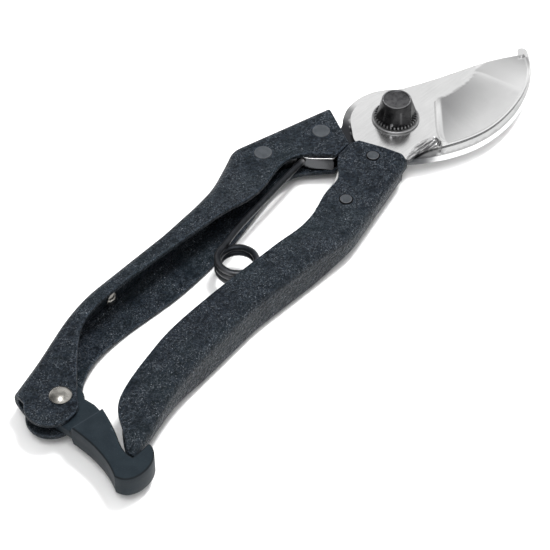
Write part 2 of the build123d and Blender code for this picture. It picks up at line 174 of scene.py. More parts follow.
# ---------------------------------------------------------------- material helpers
class Material:
    """A Principled material with short names for the nodes it is built from."""

    def __init__(self, name, **values):
        self.made = bpy.data.materials.new(name)
        self.made.use_nodes = True
        self.tree = self.made.node_tree
        self.shader = self.tree.nodes["Principled BSDF"]
        for key, value in values.items():
            self.shader.inputs[key.replace("_", " ")].default_value = value
        self.where = self.node("TexCoord").outputs["Object"]

    def node(self, kind, **values):
        node = self.tree.nodes.new("ShaderNode" + kind)
        for key, value in values.items():
            setattr(node, key, value)
        return node

    def put(self, value, socket):
        if isinstance(value, bpy.types.NodeSocket):
            self.tree.links.new(value, socket)
        else:
            socket.default_value = value

    def stretched(self, scale, turn=0.0):
        """Object coordinates turned about Z and then scaled on each axis."""
        turned = self.node("VectorRotate", rotation_type="Z_AXIS")
        self.put(self.where, turned.inputs["Vector"])
        turned.inputs["Angle"].default_value = math.radians(turn)
        scaled = self.node("VectorMath", operation="MULTIPLY")
        self.put(turned.outputs[0], scaled.inputs[0])
        scaled.inputs[1].default_value = scale
        return scaled.outputs[0]

    def noise(self, scale, detail=2.0, rough=0.5, where=None):
        node = self.node("TexNoise")
        self.put(where or self.where, node.inputs["Vector"])
        node.inputs["Scale"].default_value = scale
        node.inputs["Detail"].default_value = detail
        node.inputs["Roughness"].default_value = rough
        return node.outputs["Fac"]

    def cells(self, scale, feature="F1", where=None):
        node = self.node("TexVoronoi", feature=feature)
        self.put(where or self.where, node.inputs["Vector"])
        node.inputs["Scale"].default_value = scale
        return node.outputs["Distance"]

    def math(self, operation, a, b=0.0, clamp=False):
        node = self.node("Math", operation=operation, use_clamp=clamp)
        self.put(a, node.inputs[0])
        self.put(b, node.inputs[1])
        return node.outputs[0]

    def spread(self, value, low, high, to_low=0.0, to_high=1.0):
        node = self.node("MapRange", interpolation_type="SMOOTHSTEP")
        self.put(value, node.inputs["Value"])
        for name, number in zip(("From Min", "From Max", "To Min", "To Max"), (low, high, to_low, to_high)):
            node.inputs[name].default_value = number
        return node.outputs["Result"]

    def mix(self, amount, a, b):
        node = self.node("Mix", data_type="RGBA")
        self.put(amount, node.inputs[0])
        for colour, socket in ((a, node.inputs[6]), (b, node.inputs[7])):
            self.put(colour if isinstance(colour, bpy.types.NodeSocket) else (*colour, 1.0), socket)
        return node.outputs[2]

    def attribute(self, name):
        return self.node("Attribute", attribute_name=name).outputs["Fac"]

    def colour(self, value):
        self.put(value, self.shader.inputs["Base Color"])

    def rough(self, value):
        self.put(value, self.shader.inputs["Roughness"])

    def bump(self, height, distance, strength=1.0):
        node = self.node("Bump")
        self.put(height, node.inputs["Height"])
        node.inputs["Distance"].default_value = distance
        node.inputs["Strength"].default_value = strength
        self.put(node.outputs["Normal"], self.shader.inputs["Normal"])


def edge_wear_and_highlight(m, low=0.54, high=0.62):
    """Where the surface is sharply convex, or marked as rubbed or as taking a painted highlight."""
    pointed = m.spread(m.node("NewGeometry").outputs["Pointiness"], low, high)
    return m.math("MAXIMUM", pointed, m.attribute("worn"))


def wrinkle_paint():
    """Black textured powder coat: fine wrinkles, a blue-grey cast, and pale specks and a few glints painted
    in as highlights.
    """
    m = Material("wrinkle_paint", Specular_IOR_Level=0.1)
    grain = m.noise(1250.0, 5.0, 0.75)
    cells = m.cells(900.0, "SMOOTH_F1")
    broad = m.noise(45.0, 3.0, 0.6)
    fine = m.spread(grain, 0.40, 0.66)
    base = m.mix(fine, (0.0014, 0.0024, 0.0040), (0.0112, 0.0160, 0.0235))
    cloud = m.mix(m.spread(broad, 0.35, 0.7, 0.0, 0.4), base, (0.0100, 0.0165, 0.0190))
    netting = m.spread(m.cells(1150.0, "DISTANCE_TO_EDGE"), 0.02, 0.13, 1.0, 0.0)
    netting = m.math("MULTIPLY", netting, m.spread(m.noise(520.0, 3.0, 0.65), 0.42, 0.62))
    creased = m.mix(m.math("MULTIPLY", netting, 0.55), cloud, (0.042, 0.051, 0.062))
    # Painted highlights: pale specks and sparse bright glints stand for light caught by the wrinkles.
    where_speckled = m.spread(m.noise(210.0), 0.28, 0.64)
    specks = m.math("MULTIPLY", m.spread(m.noise(2100.0, 3.0, 0.75), 0.55, 0.64), where_speckled)
    speckled = m.mix(m.math("MULTIPLY", specks, 0.62), creased, (0.118, 0.130, 0.145))
    glints = m.math("MULTIPLY", m.spread(m.noise(2600.0, 2.0, 0.5), 0.67, 0.73), where_speckled)
    speckled = m.mix(m.math("MULTIPLY", glints, 0.75), speckled, (0.32, 0.35, 0.39))
    rubbed = m.math("MULTIPLY", m.attribute("worn"), m.spread(grain, 0.4, 0.7, 0.05, 0.5))
    m.colour(m.mix(rubbed, speckled, (0.055, 0.07, 0.09)))
    m.rough(m.spread(grain, 0.3, 0.7, 0.60, 0.36))
    height = m.math("ADD", m.math("MULTIPLY", grain, 0.7), m.math("MULTIPLY", cells, 0.8))
    m.bump(height, 0.00042, 1.0)
    return m.made


def ground_steel():
    """Satin chrome-plated steel with fine grinding lines, painted darker as shade on its walls, rims and
    tangs, and brighter as highlight on the cutting bevel.
    """
    m = Material("ground_steel", Metallic=1.0)
    along = m.noise(1.0, 3.0, 0.6, m.stretched((150.0, 3000.0, 900.0), 8.0))
    across = m.noise(1.0, 3.0, 0.6, m.stretched((3000.0, 120.0, 900.0), 12.0))
    gouges = m.noise(1.0, 3.0, 0.65, m.stretched((260.0, 1500.0, 1500.0), 12.0))
    ground = m.attribute("ground")
    lines = m.node("Mix", data_type="FLOAT")
    m.put(m.spread(ground, 0.02, 0.1), lines.inputs[0])
    m.put(along, lines.inputs[2])
    m.put(across, lines.inputs[3])
    lines = lines.outputs[0]
    cloud = m.noise(70.0, 3.0, 0.55)
    base = m.mix(m.spread(cloud, 0.3, 0.7), (0.78, 0.78, 0.78), (0.84, 0.84, 0.84))
    # The hollow is darker for its grind, with painted shade near the ridge, the heel and the tip.
    base = m.mix(ground, base, (0.42, 0.42, 0.425))
    base = m.mix(m.spread(lines, 0.35, 0.65, 0.0, 0.10), base, (0.50, 0.50, 0.505))
    rough_cut = m.attribute("coarse")
    torn = m.math("MULTIPLY", rough_cut, m.spread(gouges, 0.36, 0.60, 0.05, 0.92))
    base = m.mix(torn, base, (0.06, 0.06, 0.064))
    # Painted highlights from the bright marks.
    base = m.mix(m.attribute("bright"), base, (0.93, 0.93, 0.93))
    # Painted shade from the dark marks.
    m.colour(m.mix(m.attribute("dark"), base, (0.022, 0.024, 0.028)))
    m.rough(m.math("ADD", m.spread(lines, 0.3, 0.7, 0.18, 0.23), m.math("MULTIPLY", rough_cut, 0.15)))
    deep = m.math("MULTIPLY", m.math("MULTIPLY", rough_cut, gouges), 6.0)
    m.bump(m.math("ADD", m.math("MULTIPLY", lines, 0.12), deep), 0.00004, 0.35)
    return m.made


def blued_steel(name, dark, pale, roughness, scale=420.0, top=1.0):
    """Dull steel, mottled, paler on its edges where rubbed and where highlights are painted; top is how much
    paler its upper faces are painted, as light from above.
    """
    m = Material(name, Metallic=0.85)
    mottle = m.noise(scale, 4.0, 0.6)
    base = m.mix(m.spread(mottle, 0.3, 0.72), dark, pale)
    # Painted light: faces that point up get a paler copy of the colours.
    if top > 1.0:
        split = m.node("SeparateXYZ")
        m.put(m.node("NewGeometry").outputs["Normal"], split.inputs[0])
        lit = m.mix(m.spread(mottle, 0.3, 0.72), tuple(top * c for c in dark), tuple(top * c for c in pale))
        base = m.mix(m.spread(split.outputs["Z"], 0.8, 0.95), base, lit)
    scratched = m.spread(m.noise(1.0, 2.0, 0.5, m.stretched((3800.0, 420.0, 800.0), 35.0)), 0.66, 0.8)
    base = m.mix(m.math("MULTIPLY", scratched, 0.3), base, tuple(min(1.0, 3.0 * c) for c in pale))
    base = m.mix(m.math("MULTIPLY", edge_wear_and_highlight(m), 0.75), base, (0.42, 0.42, 0.43))
    # Painted shade from the dark marks.
    m.colour(m.mix(m.attribute("dark"), base, (0.003, 0.003, 0.004)))
    m.rough(m.spread(mottle, 0.3, 0.7, roughness - 0.06, roughness + 0.08))
    m.bump(mottle, 0.00006, 0.5)
    return m.made


def satin_plastic():
    """Black moulded nylon with a faint mottled sheen."""
    m = Material("satin_plastic", Specular_IOR_Level=0.14)
    mottle = m.noise(300.0, 4.0, 0.6)
    skin = m.noise(2600.0, 2.0, 0.5)
    base = m.mix(m.spread(mottle, 0.3, 0.7), (0.0085, 0.0135, 0.0180), (0.0120, 0.0180, 0.0230))
    base = m.mix(m.math("MULTIPLY", m.spread(skin, 0.6, 0.75), 0.35), base, (0.035, 0.043, 0.051))
    # Paler on sharp edges, and where a highlight is painted on the step.
    base = m.mix(m.math("MULTIPLY", edge_wear_and_highlight(m), 0.35), base, (0.06, 0.07, 0.085))
    # Painted shade from the dark marks.
    m.colour(m.mix(m.attribute("dark"), base, (0.0010, 0.0016, 0.0022)))
    m.rough(m.spread(mottle, 0.3, 0.7, 0.48, 0.56))
    m.bump(skin, 0.00005, 0.5)
    return m.made


def nickel():
    """Bright nickel plate, slightly warm, with hairline polishing marks."""
    m = Material("nickel", Metallic=1.0)
    tarnish = m.noise(500.0, 3.0, 0.6)
    lines = m.noise(1.0, 2.0, 0.5, m.stretched((5200.0, 500.0, 900.0), 60.0))
    base = m.mix(m.spread(tarnish, 0.35, 0.7), (0.45, 0.435, 0.405), (0.26, 0.25, 0.23))
    m.colour(base)
    m.rough(m.spread(lines, 0.3, 0.7, 0.16, 0.26))
    m.bump(lines, 0.00003, 0.3)
    return m.made


def floor_card():
    m = Material("floor_card", Roughness=0.9, Specular_IOR_Level=0.2)
    m.colour(m.mix(m.spread(m.noise(3.0), 0.3, 0.7), (0.93, 0.93, 0.93), (0.945, 0.945, 0.945)))
    return m.made


PAINT = wrinkle_paint()
STEEL = ground_steel()
# Upper faces painted 3.6 times paler, as light from above.
BLACK_STEEL = blued_steel("black_oxide", (0.013, 0.013, 0.014), (0.034, 0.034, 0.035), 0.30, top=3.6)
WIRE = blued_steel("wire_black", (0.010, 0.012, 0.015), (0.026, 0.029, 0.035), 0.36)
DULL_STEEL = blued_steel("dull_rivet", (0.078, 0.087, 0.098), (0.118, 0.130, 0.143), 0.48)
WASHER_STEEL = blued_steel("worn_washer", (0.12, 0.12, 0.12), (0.26, 0.26, 0.26), 0.34)
PLASTIC = satin_plastic()
NICKEL = nickel()
floor.data.materials.append(floor_card())


# ---------------------------------------------------------------- mesh helpers
def new_piece(name, points, faces, material, sharp=35.0):
    """A mesh object from points in millimetres."""
    mesh = bpy.data.meshes.new(name)
    mesh.from_pydata([tuple(c * MM for c in p) for p in points], [], faces)
    mesh.validate()
    mesh.materials.append(material)
    for polygon in mesh.polygons:
        polygon.use_smooth = True
    mesh.set_sharp_from_angle(angle=math.radians(sharp))
    obj = bpy.data.objects.new(name, mesh)
    bpy.context.scene.collection.objects.link(obj)
    return obj


def stand_for(obj, node):
    """The piece rides on the node's body and takes its place."""
    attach(obj, nodes[node]["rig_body"])
    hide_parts(node)
    return obj


def lathe(rings, turns, radius=None):
    """Points and faces of a closed round solid. rings are (radius, z) from the bottom to the top."""
    points, faces = [], []
    for r, z in rings:
        for k in range(turns):
            a = 2 * math.pi * k / turns
            here = radius(r, z, a) if radius else r
            points.append((here * math.cos(a), here * math.sin(a), z))
    for i in range(len(rings) - 1):
        for k in range(turns):
            n = (k + 1) % turns
            faces.append((i * turns + k, i * turns + n, (i + 1) * turns + n, (i + 1) * turns + k))
    faces.append(tuple(range(turns - 1, -1, -1)))
    last = (len(rings) - 1) * turns
    faces.append(tuple(last + k for k in range(turns)))
    return points, faces


def tube_ring(profile, turns, radius=None):
    """Points and faces of a ring: profile is a closed loop of (radius, z)."""
    points, faces = [], []
    for k in range(turns):
        a = 2 * math.pi * k / turns
        for r, z in profile:
            here, high = radius(r, z, a) if radius else (r, z)
            points.append((here * math.cos(a), here * math.sin(a), high))
    n = len(profile)
    for k in range(turns):
        b = ((k + 1) % turns) * n
        for i in range(n):
            j = (i + 1) % n
            faces.append((k * n + i, b + i, b + j, k * n + j))
    return points, faces


def moved(points, at):
    """Points shifted to a place in the plan."""
    return [(x + at.x, y + at.y, z) for x, y, z in points]


def heights(node):
    """The lowest and highest Z of a CAD node, in millimetres."""
    low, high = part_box(node)
    return low.z * 1000, high.z * 1000


def places(obj):
    """The points of a piece, in millimetres."""
    return np.array([v.co for v in obj.data.vertices]) * 1000


# ---------------------------------------------------------------- outlines from the CAD nodes
def flat_faces(node, level, up):
    """Triangles of a node that lie flat at a height, as sets of rounded plan points."""
    mesh = nodes[node].data
    mesh.calc_loop_triangles()
    plan = [(round(v.co.x * 1000, 3), round(v.co.y * 1000, 3)) for v in mesh.vertices]
    found = []
    for t in mesh.loop_triangles:
        at_level = all(abs(mesh.vertices[v].co.z * 1000 - level) < 0.01 for v in t.vertices)
        if at_level and t.normal.z * up > 0.999:
            found.append(tuple(plan[v] for v in t.vertices))
    return found


def loops_of(triangles):
    """Closed boundary loops of a set of plan triangles."""
    count = {}
    for t in triangles:
        for a, b in ((t[0], t[1]), (t[1], t[2]), (t[2], t[0])):
            key = (min(a, b), max(a, b))
            count[key] = count.get(key, 0) + 1
    ways = {}
    for (a, b), n in count.items():
        if n == 1 and a != b:
            ways.setdefault(a, []).append(b)
            ways.setdefault(b, []).append(a)
    loops, left = [], set(ways)
    while left:
        start = min(left)
        loop, last, here = [start], None, start
        while True:
            left.discard(here)
            onward = [p for p in ways[here] if p != last and (p in left or p == start)]
            if not onward or (onward[0] == start and len(loop) > 2):
                break
            last, here = here, onward[0]
            loop.append(here)
        loops.append(loop)
    return sorted(loops, key=len, reverse=True)


def area_of(loop):
    p = np.array(loop)
    q = np.roll(p, -1, axis=0)
    return 0.5 * float((p[:, 0] * q[:, 1] - q[:, 0] * p[:, 1]).sum())


def anticlockwise(loop):
    return loop if area_of(loop) > 0 else loop[::-1]


def even_loop(loop, step):
    """The loop with long runs divided, and corners kept."""
    out = []
    for a, b in zip(loop, loop[1:] + loop[:1]):
        long = math.dist(a, b)
        n = max(1, math.ceil(long / step))
        out.extend((a[0] + (b[0] - a[0]) * k / n, a[1] + (b[1] - a[1]) * k / n) for k in range(n))
    thin = [out[0]]
    for p in out[1:]:
        if math.dist(p, thin[-1]) > 0.12 * step:
            thin.append(p)
    return thin


def inside(points, loop):
    """Which plan points lie inside a loop."""
    p, q = np.array(loop), np.roll(np.array(loop), -1, axis=0)
    x, y = points[:, :1], points[:, 1:2]
    crosses = (p[:, 1] > y) != (q[:, 1] > y)
    with np.errstate(divide="ignore", invalid="ignore"):
        at = p[:, 0] + (y - p[:, 1]) * (q[:, 0] - p[:, 0]) / (q[:, 1] - p[:, 1])
    return ((crosses & (x < at)).sum(1) % 2) == 1


def distance_to(points, line, closed=True):
    """Distance from plan points to a line of segments."""
    p = np.array(line, float)
    q = np.roll(p, -1, axis=0) if closed else p[1:]
    p = p if closed else p[:-1]
    best = np.full(len(points), 1e9)
    for a, b in zip(p, q):
        d = b - a
        t = np.clip(((points - a) @ d) / max(1e-12, d @ d), 0, 1)
        best = np.minimum(best, np.hypot(*(points - a - t[:, None] * d).T))
    return best


def inset(loop, by):
    """The loop moved inwards. The loop runs anticlockwise."""
    p = np.array(loop)
    d = np.roll(p, -1, axis=0) - np.roll(p, 1, axis=0)
    n = np.stack([-d[:, 1], d[:, 0]], 1) / np.maximum(1e-9, np.hypot(d[:, 0], d[:, 1]))[:, None]
    moved_in = p + n * by
    far = distance_to(moved_in, loop) > 0.93 * by
    return [tuple(v) for v in moved_in[far & inside(moved_in, loop)]]


def within(line, loop, step, margin=0.12):
    """The stretch of a line that stays inside a loop, in short steps."""
    out = [line[0]]
    for a, b in zip(line[:-1], line[1:]):
        n = max(1, math.ceil(math.dist(a, b) / step))
        out.extend((a[0] + (b[0] - a[0]) * k / n, a[1] + (b[1] - a[1]) * k / n) for k in range(1, n + 1))
    points = np.array(out)
    return [tuple(p) for p in points[inside(points, loop) & (distance_to(points, loop) > margin)]]


ROW = 0.866                # height of an equilateral triangle of side 1
WALL_ROWS = 3              # rows of faces up a plate's side
MOST_ROUND = 0.35          # share of its thickness that a rounded edge may take


def mark(obj, name, values):
    """Store one number for each point of a piece, for its material."""
    layer = obj.data.attributes.new(name, "FLOAT", "POINT")
    layer.data.foreach_set("value", np.asarray(values, np.float32))


def plan_points(loop, holes, step, edge, extra):
    """A plate's plan points, the segments its triangles keep to, and the numbers of each rim's points."""
    plan, segments, rims = [], [], []
    for ring in (loop, *holes):
        start = len(plan)
        plan.extend(ring)
        rims.append(list(range(start, len(plan))))
        segments.extend((start + k, start + (k + 1) % len(ring)) for k in range(len(ring)))
    for share in (0.12, 0.4, 1.0):
        plan.extend(inset(loop, edge * share))
    for line in extra:
        start = len(plan)
        plan.extend(line)
        segments.extend((start + k, start + k + 1) for k in range(len(line) - 1))
    box = np.array(loop)
    xs = np.arange(box[:, 0].min(), box[:, 0].max(), step)
    ys = np.arange(box[:, 1].min(), box[:, 1].max(), step * ROW)
    grid = np.array([(x + (0.5 * step if j % 2 else 0), y) for j, y in enumerate(ys) for x in xs])
    keep = inside(grid, loop) & (distance_to(grid, loop) > edge + 0.35 * step)
    for h in holes:
        keep &= ~inside(grid, h) & (distance_to(grid, h) > 0.4 * step)
    for line in extra:
        keep &= distance_to(grid, line, closed=False) > 0.3 * step
    plan.extend(tuple(p) for p in grid[keep])
    return plan, segments, rims


def plan_triangles(plan, segments, rims, loop, holes):
    """Points and triangles between the outer loop and the holes, and each rim's points in order."""
    points, _, found, olds_of, *_ = delaunay_2d_cdt([Vector(p) for p in plan], segments, [], 0, 1e-4)
    verts = np.array([tuple(v) for v in points])
    new_of = {old: new for new, olds in enumerate(olds_of) for old in olds}
    tris = [tuple(f) for f in found]
    middle = np.array([verts[list(f)].mean(0) for f in tris])
    good = inside(middle, loop)
    for h in holes:
        good &= ~inside(middle, h)
    tris = [f for f, ok in zip(tris, good) if ok]
    return verts, tris, [[new_of[i] for i in rim] for rim in rims]


def side_walls(verts, high_z, low_z, rims):
    """Points between the top and bottom rims, numbered on after both plans' points, and the walls' faces."""
    n = len(verts)
    points, faces = [], []
    for number, ring in enumerate(rims):
        columns = []
        for i in ring:
            column = [i]
            for k in range(1, WALL_ROWS):
                share = k / WALL_ROWS
                column.append(2 * n + len(points))
                points.append((*verts[i], high_z[i] * (1 - share) + low_z[i] * share))
            column.append(i + n)
            columns.append(column)
        for one, two in zip(columns, columns[1:] + columns[:1]):
            for j in range(WALL_ROWS):
                quad = (one[j], one[j + 1], two[j + 1], two[j])
                faces.append(quad if number == 0 else quad[::-1])
    return points, faces


def plate(name, loop, holes, step, edge, top, low, material, extra, facts):
    """A plate with rounded top and bottom edges, between two height functions of the plan."""
    loop = even_loop(anticlockwise(loop), step)
    holes = [even_loop(anticlockwise(h), step) for h in holes]
    extra = [within(line, loop, step) for line in extra]
    plan, segments, rims = plan_points(loop, holes, step, edge, extra)
    verts, tris, rims = plan_triangles(plan, segments, rims, loop, holes)
    away = distance_to(verts, loop)
    round_off = edge - np.sqrt(np.maximum(0, edge**2 - np.maximum(0, edge - away) ** 2))
    high_z, low_z = top(verts, away), low(verts)
    round_off = np.minimum(round_off, MOST_ROUND * (high_z - low_z))
    high_z, low_z = high_z - round_off, low_z + round_off
    n = len(verts)
    points = [(x, y, z) for level in (high_z, low_z) for (x, y), z in zip(verts, level)]
    faces = []
    for f in tris:
        a, b, c = (verts[i] for i in f)
        if (b[0] - a[0]) * (c[1] - a[1]) - (b[1] - a[1]) * (c[0] - a[0]) < 0:
            f = f[::-1]
        faces.append(f)
        faces.append(tuple(i + n for i in f[::-1]))
    wall_points, wall_faces = side_walls(verts, high_z, low_z, rims)
    points += wall_points
    faces += wall_faces
    used = sorted({i for f in faces for i in f})
    number_of = {old: new for new, old in enumerate(used)}
    faces = [tuple(number_of[i] for i in f) for f in faces]
    obj = new_piece(name, [points[i] for i in used], faces, material, 32.0)
    co = np.array([points[i] for i in used])
    for key, values in facts(co, distance_to(co[:, :2], loop)).items():
        mark(obj, key, values)
    return obj


def smooth(t):
    t = np.clip(t, 0, 1)
    return t * t * (3 - 2 * t)


def rounded(line, times=2):
    """The line with its corners cut twice, its ends kept."""
    for _ in range(times):
        cut = [line[0]]
        for a, b in zip(line[:-1], line[1:]):
            cut.append((0.75 * a[0] + 0.25 * b[0], 0.75 * a[1] + 0.25 * b[1]))
            cut.append((0.25 * a[0] + 0.75 * b[0], 0.25 * a[1] + 0.75 * b[1]))
        line = cut + [line[-1]]
    return line


def beside(line, by):
    """The line moved sideways, to the right of its direction for a positive number."""
    p = np.array(line)
    d = np.gradient(p, axis=0)
    n = np.stack([d[:, 1], -d[:, 0]], 1) / np.hypot(d[:, 0], d[:, 1])[:, None]
    return [tuple(v) for v in p + n * by]


def side_of(points, line):
    """Signed distance to a line of segments, positive on the right of its direction."""
    p = np.array(line, float)
    best = np.full(len(points), 1e9)
    sign = np.ones(len(points))
    for a, b in zip(p[:-1], p[1:]):
        d = b - a
        t = np.clip(((points - a) @ d) / (d @ d), 0, 1)
        gap = points - a - t[:, None] * d
        far = np.hypot(gap[:, 0], gap[:, 1])
        cross = d[0] * (points[:, 1] - a[1]) - d[1] * (points[:, 0] - a[0])
        nearer = far < best - 1e-9
        best = np.where(nearer, far, best)
        sign = np.where(nearer, np.where(cross < 0, 1.0, -1.0), sign)
    return best * sign


# ---------------------------------------------------------------- the two blades
# Lines on the cutting blade, in plan. The heel is the wall where the hollow grind ends towards the pivot,
# the ridge is the hollow's upper edge, and the scoop is the rough notch behind the heel.
HEEL = (
    (17.6, -3.0), (14.9, -4.5), (12.2, -6.4), (8.1, -9.3),
    (2.9, -13.0), (0.2, -15.5), (-1.2, -18.9), (-2.0, -23.0),
)
RIDGE = (
    (10.0, -1.0), (15.2, -4.9), (16.3, -6.1), (17.5, -6.9), (20.2, -7.8), (24.3, -8.6),
    (28.2, -9.0), (31.5, -8.9), (33.2, -8.5), (35.0, -7.3), (37.0, -5.0), (45.0, 6.0),
)
SCOOP = (
    (-15.5, -13.6), (-12.1, -12.2), (-9.2, -11.7), (-6.4, -11.7),
    (-4.0, -12.0), (-1.6, -13.0), (0.2, -14.4),
)
HEEL, RIDGE, SCOOP = rounded(HEEL), rounded(RIDGE), rounded(SCOOP)
SCOOP_END = ((0.5, -14.0), (0.2, -14.6), (-0.3, -16.3), (-1.3, -19.2))
RIDGE_AT, RIDGE_SLOPE = (15.0, -7.4), math.tan(math.radians(-7.7))
HOLLOW_WIDE, HOLLOW_DEEP = 17.0, 1.62
GROOVES = ((0.0, 1.35, 0.95), (1.35, 1.5, 0.75))  # start, width and depth of the two cuts of the scoop
BEVEL_RISE, BEVEL_SLOPE = 0.42, 0.6
BEVEL_LINES = (0.93, 1.03)
TANG_STEP_R = 18.6
STEP_GAP = 0.08
BOSS_RIM_R = 13.6
BLADE_STEP, BLADE_EDGE = 0.42, 0.16
COUNTER_STEP, COUNTER_EDGE = 1.1, 0.22
AT_WALL = 0.06  # a point nearer the outline than this is on the side wall


def in_tang(xy):
    return (np.hypot(xy[:, 0], xy[:, 1]) > TANG_STEP_R) & (xy[:, 0] < -10)


def on_belly(xy):
    """The side of the cutting edge, past the heel."""
    return (xy[:, 0] > -0.9) & (xy[:, 1] < -5 - 0.22 * xy[:, 0])


def under_ridge(xy):
    """How far below the straight line along the ridge, measured along Y."""
    return -(xy[:, 1] - (RIDGE_AT[1] + RIDGE_SLOPE * (xy[:, 0] - RIDGE_AT[0])))


def hollow_depth(xy, heel):
    """Depth of the hollow grind, from nothing at the ridge to its full depth at the edge."""
    below = side_of(xy, RIDGE)
    straight = under_ridge(xy) * math.cos(math.atan(RIDGE_SLOPE))
    both = below + 0.25 * straight
    reach = np.clip(0.5 * (both + np.hypot(below - 0.25 * straight, 1.6)) - 0.25, 0, None)
    share = np.clip((HOLLOW_WIDE - np.minimum(reach, straight + 2.0)) / HOLLOW_WIDE, 0, 1)
    hollow = np.where(below > 0, HOLLOW_DEEP * (1 - share**2), 0)
    return hollow * (smooth(-heel / 2.5) * 0.5 + 0.5 * np.clip(-heel / 2.2, 0, 1))


def scoop_depth(xy, past):
    """Depth of the two grooves behind the heel, fading out at both ends."""
    total = np.zeros(len(xy))
    for start, wide, deep in GROOVES:
        total = total + deep * np.sqrt(np.clip(1 - (1 - np.clip((past - start) / wide, 0, 1)) ** 2, 0, 1))
    return total * np.clip(side_of(xy, SCOOP_END) / 0.7, 0, 1) * np.clip((xy[:, 0] + 16.5) / 1.5, 0, 1)


def cutting_top(xy, away):
    """Top of the cutting blade: flat at the pivot, with a hollow grind at the edge, scooped behind its heel.
    """
    heel = side_of(xy, HEEL)
    z = BLADE_TOP - hollow_depth(xy, heel)
    bevel = SLIDE_TOP + BEVEL_RISE + BEVEL_SLOPE * np.clip(away, 0, None)
    z = np.where(on_belly(xy) & (heel < 0), np.minimum(z, bevel), z)
    past = side_of(xy, SCOOP)
    return np.where(past > 0, np.minimum(z, BLADE_TOP - scoop_depth(xy, past)), z)


def cutting_low(xy):
    return np.where(in_tang(xy), BLADE_LOW, SLIDE_TOP)


def hollow_shade_tone(xy, heel):
    """Painted shade in the hollow: how dark it is, most near the ridge, the heel and the tip."""
    x = xy[:, 0]
    near_ridge = (1 - smooth(under_ridge(xy) / 15.0)) * (1 - smooth((x - 27.0) / 8.0))
    near_heel = 1 - smooth((-heel - 1.0) / 16.0)
    tip = smooth((x - 43.5) / 8.0)
    tone = 0.52 * near_ridge * (0.45 + 0.55 * near_heel) + 0.34 * near_heel * (1 - tip) + 0.75 * tip
    return np.clip(tone, 0.04, 1)


def cutting_facts(co, away):
    """Where the blade has its hollow grind and rough notch, and where painted highlight and painted shade
    go.
    """
    xy, x, z = co[:, :2], co[:, 0], co[:, 2]
    heel, past = side_of(xy, HEEL), side_of(xy, SCOOP)
    below = side_of(xy, RIDGE)
    in_hollow = smooth((-heel - 1.7) / 0.8) * (below > 0.05) * (x > -2)
    # Painted highlight: a soft bright band across the hollow behind the tip.
    clear = 0.85 * (below > 0.05) * smooth((x - 33.0) / 3.5) * (1 - smooth((x - 39.0) / 7.0))
    coarse = smooth(past / 0.3) * smooth((side_of(xy, SCOOP_END) + 0.3) / 0.5)
    coarse = coarse * (x > -17) * (z > SLIDE_TOP + 0.1)
    wall = away < AT_WALL
    # Painted shade: the boss's side wall, the tang inside the handle, the crease along the heel, the side
    # wall under the cutting edge, and the bevel near the tip.
    boss_wall = wall * smooth((-x - 3.5) / 5.0) * 0.9
    tang = (x < -17) * (0.75 * (z < BLADE_TOP - 1.2) + 0.2)
    on_edge = on_belly(xy) & (heel < 0)
    # The bevel along the cutting edge is painted bright as a highlight, giving way to painted shade near the
    # tip.
    bevel = on_edge & (away < 0.98) & ~wall
    near_tip = smooth((x - 44.0) / 6.0)
    crease = 0.3 * (np.abs(heel + 0.2) < 0.32) * (x > -1.5) * (xy[:, 1] < -5.5) * ~wall
    dark = boss_wall + tang + crease + 0.85 * (on_edge & wall) + 0.28 * bevel * near_tip
    return {
        # The hollow's grind, darkened with painted shade.
        "ground": in_hollow * hollow_shade_tone(xy, heel),
        "coarse": coarse,
        "dark": np.clip(dark, 0, 1),
        "bright": np.maximum(bevel * (1 - near_tip), clear),
    }


def split_holes(triangles):
    """The outer loop and the holes of a set of plan triangles."""
    loops = [loop for loop in loops_of(triangles) if abs(area_of(loop)) > 1.0]
    loops.sort(key=lambda loop: -abs(area_of(loop)))
    return loops[0], loops[1:]


def arc(r, first, last, n=24):
    """Points round the pivot, between two angles in degrees."""
    turns = [math.radians(first + (last - first) * k / n) for k in range(n + 1)]
    return [(r * math.cos(a), r * math.sin(a)) for a in turns]


def tang_step(first, last):
    """A line close to each side of the step at the tang."""
    return arc(TANG_STEP_R - STEP_GAP, first, last), arc(TANG_STEP_R + STEP_GAP, first, last)


def belly_line(loop, by):
    """The cutting edge moved inwards."""
    ring = inset(even_loop(anticlockwise(loop), BLADE_STEP), by)
    belly = [p for p in ring if p[0] > -0.3 and p[1] < -5.6 - 0.22 * p[0]]
    gaps = [math.dist(a, b) for a, b in zip(belly, belly[1:] + belly[:1])]
    turn = gaps.index(max(gaps)) + 1
    return belly[turn:] + belly[:turn]


plan = flat_faces("cutting_blade", SLIDE_TOP, -1) + flat_faces("cutting_blade", BLADE_LOW, -1)
outer, holes = split_holes(plan)
cutting = plate(
    "cutting_blade_skin",
    outer,
    holes,
    BLADE_STEP,
    BLADE_EDGE,
    cutting_top,
    cutting_low,
    STEEL,
    extra=(
        HEEL[4:],
        *(beside(HEEL, by)[4:] for by in (0.2, -0.6, -1.7, -2.5)),
        [p for p in RIDGE if p[0] > RIDGE_AT[0]],
        SCOOP[2:],
        beside(SCOOP, GROOVES[1][0])[2:],
        SCOOP_END[1:-1],
        *(belly_line(outer, by) for by in BEVEL_LINES),
        *tang_step(163, 212),
    ),
    facts=cutting_facts,
)
stand_for(cutting, "cutting_blade")


def counter_top(xy, away):
    return np.where(in_tang(xy), BLADE_TOP, SLIDE_LOW)


def counter_low(xy):
    return np.full(len(xy), BLADE_LOW)


